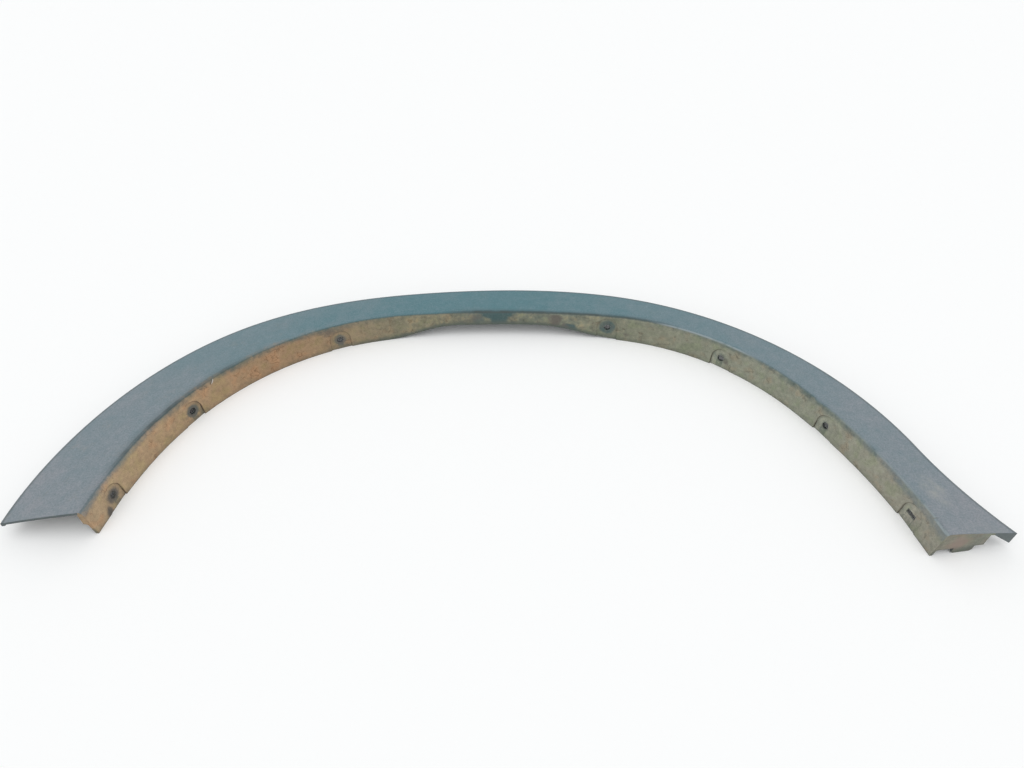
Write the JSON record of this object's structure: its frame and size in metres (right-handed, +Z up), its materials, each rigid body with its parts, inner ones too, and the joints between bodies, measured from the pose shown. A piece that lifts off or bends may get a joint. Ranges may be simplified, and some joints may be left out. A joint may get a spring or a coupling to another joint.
{
  "type": "wheel arch trim",
  "caption": "Moulded plastic wheel arch trim: a gently sloped curved face with a return flange around the wheel opening, screw seats in the flange and a flared, closed end.",
  "frame": {"origin": "middle of the trim's box, on the surface that the free edge of the flange lies on", "axes": "+X along the span from the wide plain leg to the flared leg, +Y from the open side of the arch to the crown, +Z up, out of the face"},
  "size_m": [0.9164, 0.364, 0.0325],
  "materials": {
    "trim_plastic": "grained, sun-greyed, with dried mud on the flange"
  },
  "bodies": {
    "root": {"wheel_arch_trim": "trim_plastic"}
  },
  "joints": []
}
